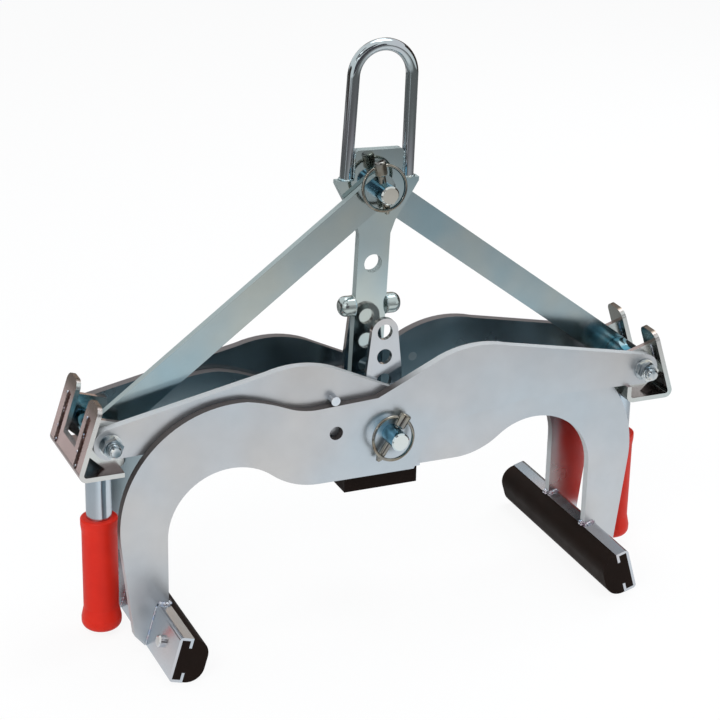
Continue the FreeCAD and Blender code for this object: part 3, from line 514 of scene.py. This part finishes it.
SEAM_START, SEAM_END, SEAM_RADIUS, SEAM_FLATNESS = 0.010, 0.066, 0.005, 0.2
SPATTER_SHARES = (0.03, 0.08, 0.31, 0.62, 0.67, 0.97)
SPATTER_LIFT, SPATTER_SPREAD, SPATTER_TURN = 0.0004, 0.0034, 2.3
SPATTER_RADIUS, SPATTER_GROWTH, SPATTER_SIZES, SPATTER_DETAIL = 0.0009, 0.00035, 3, 2
GUSSET_BEAD, GUSSET_BEAD_ASIDE, GUSSET_BEAD_START, GUSSET_BEAD_END = 0.0015, 0.0032, 0.030, 0.064
TUBE_BEAD, TUBE_BEAD_GAP = 0.0019, 0.0008


def spatter(build, y, turned):
    """Drops of weld metal beside a seam."""
    for index, share in enumerate(SPATTER_SHARES):
        spot = on_upright(SEAM_START + share * (SEAM_END - SEAM_START), -SPATTER_LIFT)
        away = SPATTER_SPREAD * math.sin(index * SPATTER_TURN)
        centre = Vector(on_half(spot, y + away, turned))
        radius = SPATTER_RADIUS + SPATTER_GROWTH * (index % SPATTER_SIZES)
        bmesh.ops.create_icosphere(build, subdivisions=SPATTER_DETAIL, radius=radius,
                                   matrix=Matrix.Translation(centre))


def bracket_welds(side, turned, body):
    """Brown plug seams on the upright's outer face, pale spatter, and beads inside and round the tube."""
    seams, drops = bmesh.new(), bmesh.new()
    start, end = on_upright(SEAM_START, 0), on_upright(SEAM_END, 0)
    low = on_upright(GUSSET_BEAD_START, UPRIGHT_THICKNESS)
    high = on_upright(GUSSET_BEAD_END, UPRIGHT_THICKNESS)
    for y in GUSSET_MIDDLES:
        bead(seams, on_half(start, y, turned), on_half(end, y, turned), SEAM_RADIUS, SEAM_FLATNESS)
        spatter(drops, y, turned)
        for beside in (y - GUSSET_BEAD_ASIDE, y + GUSSET_BEAD_ASIDE):
            bead(drops, on_half(low, beside, turned), on_half(high, beside, turned), GUSSET_BEAD)
    tube_top = on_half((HANDLE.x, FOOT_HEIGHT - TUBE_BEAD_GAP), HANDLE.y, turned)
    ring_bead(drops, tube_top, UPWARD, TUBE_RADIUS + TUBE_BEAD_GAP, TUBE_BEAD)
    piece(f"{side}_bracket_seams", seams, "weld_seam", body)
    piece(f"{side}_bracket_beads", drops, "weld_bead", body)


THREAD_PITCH, THREAD_RIDGE, THREAD_STEPS, THREAD_SIDES = 0.00175, 0.00055, 28, 6
THREAD_GAP, THREAD_MARGIN = 0.0004, 0.0016
COLLAR_RADIUS, COLLAR_ROUND, COLLAR_STEPS = 0.007, 0.0012, 48


def stud_end(side, body):
    """Thread on the bolt's end, and the nut's locking collar."""
    axis = middle_of(f"{side}_link_bolt")
    front = depths_of(f"{side}_bolt_nut")[0]
    length = front - depths_of(f"{side}_link_bolt")[0]

    def round_bolt(radius, y, turn):
        return Vector((axis.x + radius * math.cos(turn), y, axis.z + radius * math.sin(turn)))

    thread = bmesh.new()
    points = []
    for index in range(int((length - THREAD_MARGIN) / THREAD_PITCH * THREAD_STEPS)):
        y = front - THREAD_GAP - THREAD_PITCH * index / THREAD_STEPS
        points.append(round_bolt(BOLT_RADIUS, y, 2 * math.pi * index / THREAD_STEPS))
    tube(thread, points, [THREAD_RIDGE] * len(points), sides=THREAD_SIDES)
    piece(f"{side}_stud_thread", thread, "fastener_zinc_bolt", body)
    collar = bmesh.new()
    turns = [2 * math.pi * index / COLLAR_STEPS for index in range(COLLAR_STEPS)]
    circle = [round_bolt(COLLAR_RADIUS, front, turn) for turn in turns]
    tube(collar, circle, [COLLAR_ROUND] * COLLAR_STEPS, closed=True)
    piece(f"{side}_nut_collar", collar, "fastener_zinc_bolt", body)


FOOT_BEAD, FOOT_BEAD_LIFT, FOOT_BEAD_GAP = 0.0013, 0.0008, 0.0003
CROWN_BEAD, CROWN_BEAD_INSET = 0.0013, 0.0006
CROWN_BEAD_START, CROWN_BEAD_START_GAP = 0.002, 0.0007
CROWN_BEAD_END, CROWN_BEAD_END_GAP = 0.003, 0.0004
EAR_BEAD, EAR_BEAD_GAP, EAR_BEAD_INSET = 0.0011, 0.0006, 0.0006


def suspension_welds():
    """Beads at the feet of the lifting eye, up its legs beside the crown, and round the ears."""
    build = bmesh.new()
    axis = (math.sin(SUSPENSION_LEAN), 0, math.cos(SUSPENSION_LEAN))
    across = (math.cos(SUSPENSION_LEAN), 0, -math.sin(SUSPENSION_LEAN))
    face = BAR_FACE - CROWN_BEAD_INSET
    for side in (-1, 1):
        x, z = on_bar(side * EYE_LEG, SHOULDER_TOP + FOOT_BEAD_LIFT)
        ring_bead(build, (x, 0, z), axis, EYE_RADIUS + FOOT_BEAD_GAP, FOOT_BEAD)
        low = on_bar(side * (CROWN_SIDE + CROWN_BEAD_START_GAP), SHOULDER_TOP + CROWN_BEAD_START)
        high = on_bar(side * (CROWN_SIDE + CROWN_BEAD_END_GAP), CROWN_TOP - CROWN_BEAD_END)
        for y in (-face, face):
            bead(build, (low[0], y, low[1]), (high[0], y, high[1]), CROWN_BEAD)
        x, z = on_bar(side * (BAR_SIDE + EAR_BEAD_GAP), -EAR_DROP)
        ring_bead(build, (x, 0, z), across, EAR_RADIUS - EAR_BEAD_INSET, EAR_BEAD)
    piece("suspension_welds", build, "eye_weld", "suspension")


for jaw, lever, turned in (("left", "right", False), ("right", "left", True)):
    arm = f"{jaw}_arm"
    jaw_welds(f"{jaw}_jaw_welds", turned, arm)
    bracket_welds(lever, turned, arm)
    stud_end(lever, arm)
suspension_welds()


def glow_node(tree, colour):
    glow = tree.nodes.new("ShaderNodeEmission")
    glow.inputs["Color"].default_value = (*colour, 1)
    return glow.outputs["Emission"]


def blend_shaders(tree, factor, first, second, target):
    blend = tree.nodes.new("ShaderNodeMixShader")
    tree.links.new(factor, blend.inputs["Fac"])
    tree.links.new(first, blend.inputs[1])
    tree.links.new(second, blend.inputs[2])
    tree.links.new(blend.outputs["Shader"], target)


def seen_directly(tree):
    """One for rays from the camera and for mirrored and refracted ones."""
    path = tree.nodes.new("ShaderNodeLightPath")
    eye = larger(tree, path.outputs["Is Camera Ray"], path.outputs["Is Glossy Ray"])
    return larger(tree, eye, path.outputs["Is Transmission Ray"])


WHITE, FLOOR_PALE, FLOOR_GLOW = (1, 1, 1), (0.92, 0.92, 0.92), 0.9


def floor_look():
    """White floor that keeps a faint shadow."""
    mat, tree, surface = blank_material("floor")
    pale = tree.nodes.new("ShaderNodeBsdfDiffuse")
    pale.inputs["Color"].default_value = (*FLOOR_PALE, 1)
    factor = product(tree, seen_directly(tree), FLOOR_GLOW)
    blend_shaders(tree, factor, pale.outputs["BSDF"], glow_node(tree, WHITE), surface)
    return mat


def card_look(name, colour):
    mat, tree, surface = blank_material(name)
    tree.links.new(glow_node(tree, colour), surface)
    return mat


# The dark ring on the floor: distances from its centre in metres, and how dark it is there
RING_COLOUR = (0.05, 0.048, 0.045)
FADE_CENTRE, FADE_REACH = (0.1, -0.45, 0), 4.0
FADE_DISTANCES = (0.46, 0.70, 1.0, 1.16, 1.5, 2.7, 3.4)
FADE_LEVELS = (0.0, 0.40, 0.42, 0.62, 0.85, 0.88, 0.0)


def dark_ring_look():
    """Clear near the tongs, dark further out, and clear again towards the backdrop."""
    mat, tree, surface = blank_material("dark_ring")
    where = tree.nodes.new("ShaderNodeNewGeometry")
    length = tree.nodes.new("ShaderNodeVectorMath")
    length.operation = "DISTANCE"
    length.inputs[1].default_value = FADE_CENTRE
    tree.links.new(where.outputs["Position"], length.inputs[0])
    reach = span(tree, length.outputs["Value"], (0.0, FADE_REACH), RISING)
    places = [distance / FADE_REACH for distance in FADE_DISTANCES]
    dark = ramp(tree, reach, places, [(level,) * 3 for level in FADE_LEVELS])
    clear = tree.nodes.new("ShaderNodeBsdfTransparent")
    blend_shaders(tree, dark, clear.outputs["BSDF"], glow_node(tree, RING_COLOUR), surface)
    return mat


def panel(name, centre, size, normal, mat):
    """Flat stage panel facing along a normal."""
    mesh = bpy.data.meshes.new(name)
    build = bmesh.new()
    bmesh.ops.create_grid(build, x_segments=1, y_segments=1, size=0.5)
    build.to_mesh(mesh)
    build.free()
    item = bpy.data.objects.new(name, mesh)
    turn = Vector(normal).to_track_quat("Z", "Y").to_matrix().to_4x4()
    item.matrix_world = Matrix.Translation(centre) @ turn @ Matrix.Diagonal((*size, 1, 1))
    mesh.materials.append(mat)
    bpy.context.scene.collection.objects.link(item)
    return item


def card(name, centre, size, normal, mat):
    """Studio card that only shows as a reflection in the metal."""
    item = panel(name, centre, size, normal, mat)
    item.visible_camera = False
    item.visible_diffuse = False
    item.visible_shadow = False
    item.visible_transmission = False


FLOOR_CENTRE, FLOOR_SIZE = (0, 0, -0.0005), (14, 14)
RING_CENTRE, RING_SIZE = (0, 0, 0.001), (8, 8)
DARK, DUSK, BEIGE = (0.06, 0.045, 0.04), (0.10, 0.09, 0.10), (0.75, 0.64, 0.55)
PALE, WINDOW = (0.86, 0.80, 0.79), (0.85, 0.88, 0.90)

# Each card's centre, size, the way that it faces, and its colour
CARDS = {
    "back_card": ((1.35, 2.25, 0.95), (2.8, 1.9), (-0.5, -0.86, 0), DARK),
    "right_card": ((2.6, 0.5, 0.95), (2.6, 1.9), (-1, -0.1, 0), DARK),
    "beige_card": ((0.85, 2.2, 0.82), (1.1, 0.6), (-0.5, -0.86, 0), BEIGE),
    "low_card": ((-1.3, 2.2, 0.3), (1.9, 0.8), (0.5, -0.86, 0), DARK),
    "side_card": ((-2.6, 0.7, 0.5), (2.2, 1.4), (0.96, -0.26, 0), DARK),
    "front_card": ((-0.3, -2.7, 0.9), (3.0, 1.5), (0, 1, 0), DUSK),
    "roof_card": ((-0.75, -1.55, 1.9), (2.4, 0.9), (0.35, 0.75, -0.75), DUSK),
    "high_card": ((-1.41, -0.42, 2.24), (0.45, 1.4), (0.64, 0.19, -0.746), DUSK),
    "pale_card": ((-0.95, 1.15, 0.003), (0.7, 0.7), UPWARD, PALE),
    "window_card": ((-0.80, -0.78, 0.55), (0.10, 1.1), (0.7, 0.7, 0), WINDOW),
}
panel("floor", FLOOR_CENTRE, FLOOR_SIZE, UPWARD, floor_look())
card("dark_ring", RING_CENTRE, RING_SIZE, UPWARD, dark_ring_look())
for name, (centre, size, normal, colour) in CARDS.items():
    card(name, centre, size, normal, card_look(name, colour))

WORLD_LIGHT, WORLD_STRENGTH = (0.95, 0.97, 1), 0.55


def background(tree, colour, strength):
    node = tree.nodes.new("ShaderNodeBackground")
    node.inputs["Color"].default_value = (*colour, 1)
    node.inputs["Strength"].default_value = strength
    return node.outputs["Background"]


def studio_world():
    """White where it is seen or mirrored, and dimmer as a light."""
    world = bpy.data.worlds.new("studio")
    bpy.context.scene.world = world
    world.use_nodes = True
    tree = world.node_tree
    tree.nodes.clear()
    out = tree.nodes.new("ShaderNodeOutputWorld")
    lit = background(tree, WORLD_LIGHT, WORLD_STRENGTH)
    seen = background(tree, WHITE, 1.0)
    blend_shaders(tree, seen_directly(tree), lit, seen, out.inputs["Surface"])


LIGHT_TARGET = Vector((0, 0, 0.25))


def area_light(name, place, size, power, colour, glints):
    lamp = bpy.data.lights.new(name, "AREA")
    lamp.shape = "RECTANGLE"
    lamp.size, lamp.size_y = size
    lamp.energy = power
    lamp.color = colour
    item = bpy.data.objects.new(name, lamp)
    item.location = place
    item.rotation_euler = (LIGHT_TARGET - Vector(place)).to_track_quat("-Z", "Y").to_euler()
    item.visible_glossy = glints
    bpy.context.scene.collection.objects.link(item)


studio_world()
area_light("key", (-1.6, -1.6, 2.2), (1.2, 1.2), 32, WHITE, True)
area_light("top", (0.5, 0.3, 2.4), (1.6, 1.0), 22, (0.92, 0.96, 1), True)
area_light("rim", (1.9, 1.2, 1.4), (0.8, 1.0), 14, (0.9, 0.95, 1), False)

# The camera, fitted to the photo's view
CAMERA_AZIMUTH, CAMERA_ELEVATION, CAMERA_ROLL = (math.radians(angle) for angle in (-23.44, 22.21, 1.26))
CAMERA_TARGET = Vector((-0.0137, 0, 0.2702))
CAMERA_DISTANCE = 2.332
SENSOR, FOCAL = 36.0, 110.0


def photo_camera():
    camera = bpy.data.cameras.new("camera")
    camera.sensor_width = SENSOR
    camera.lens = FOCAL
    item = bpy.data.objects.new("camera", camera)
    right = Vector((math.cos(CAMERA_AZIMUTH), math.sin(CAMERA_AZIMUTH), 0))
    level = math.cos(CAMERA_ELEVATION)
    back = Vector((math.sin(CAMERA_AZIMUTH) * level, -math.cos(CAMERA_AZIMUTH) * level,
                   math.sin(CAMERA_ELEVATION)))
    up = back.cross(right)
    turned_right = right * math.cos(CAMERA_ROLL) + up * math.sin(CAMERA_ROLL)
    turned_up = up * math.cos(CAMERA_ROLL) - right * math.sin(CAMERA_ROLL)
    axes = Matrix((turned_right, turned_up, back)).transposed().to_4x4()
    item.matrix_world = Matrix.Translation(CAMERA_TARGET + back * CAMERA_DISTANCE) @ axes
    bpy.context.scene.collection.objects.link(item)
    bpy.context.scene.camera = item


photo_camera()
bpy.context.scene.view_settings.view_transform = "Standard"
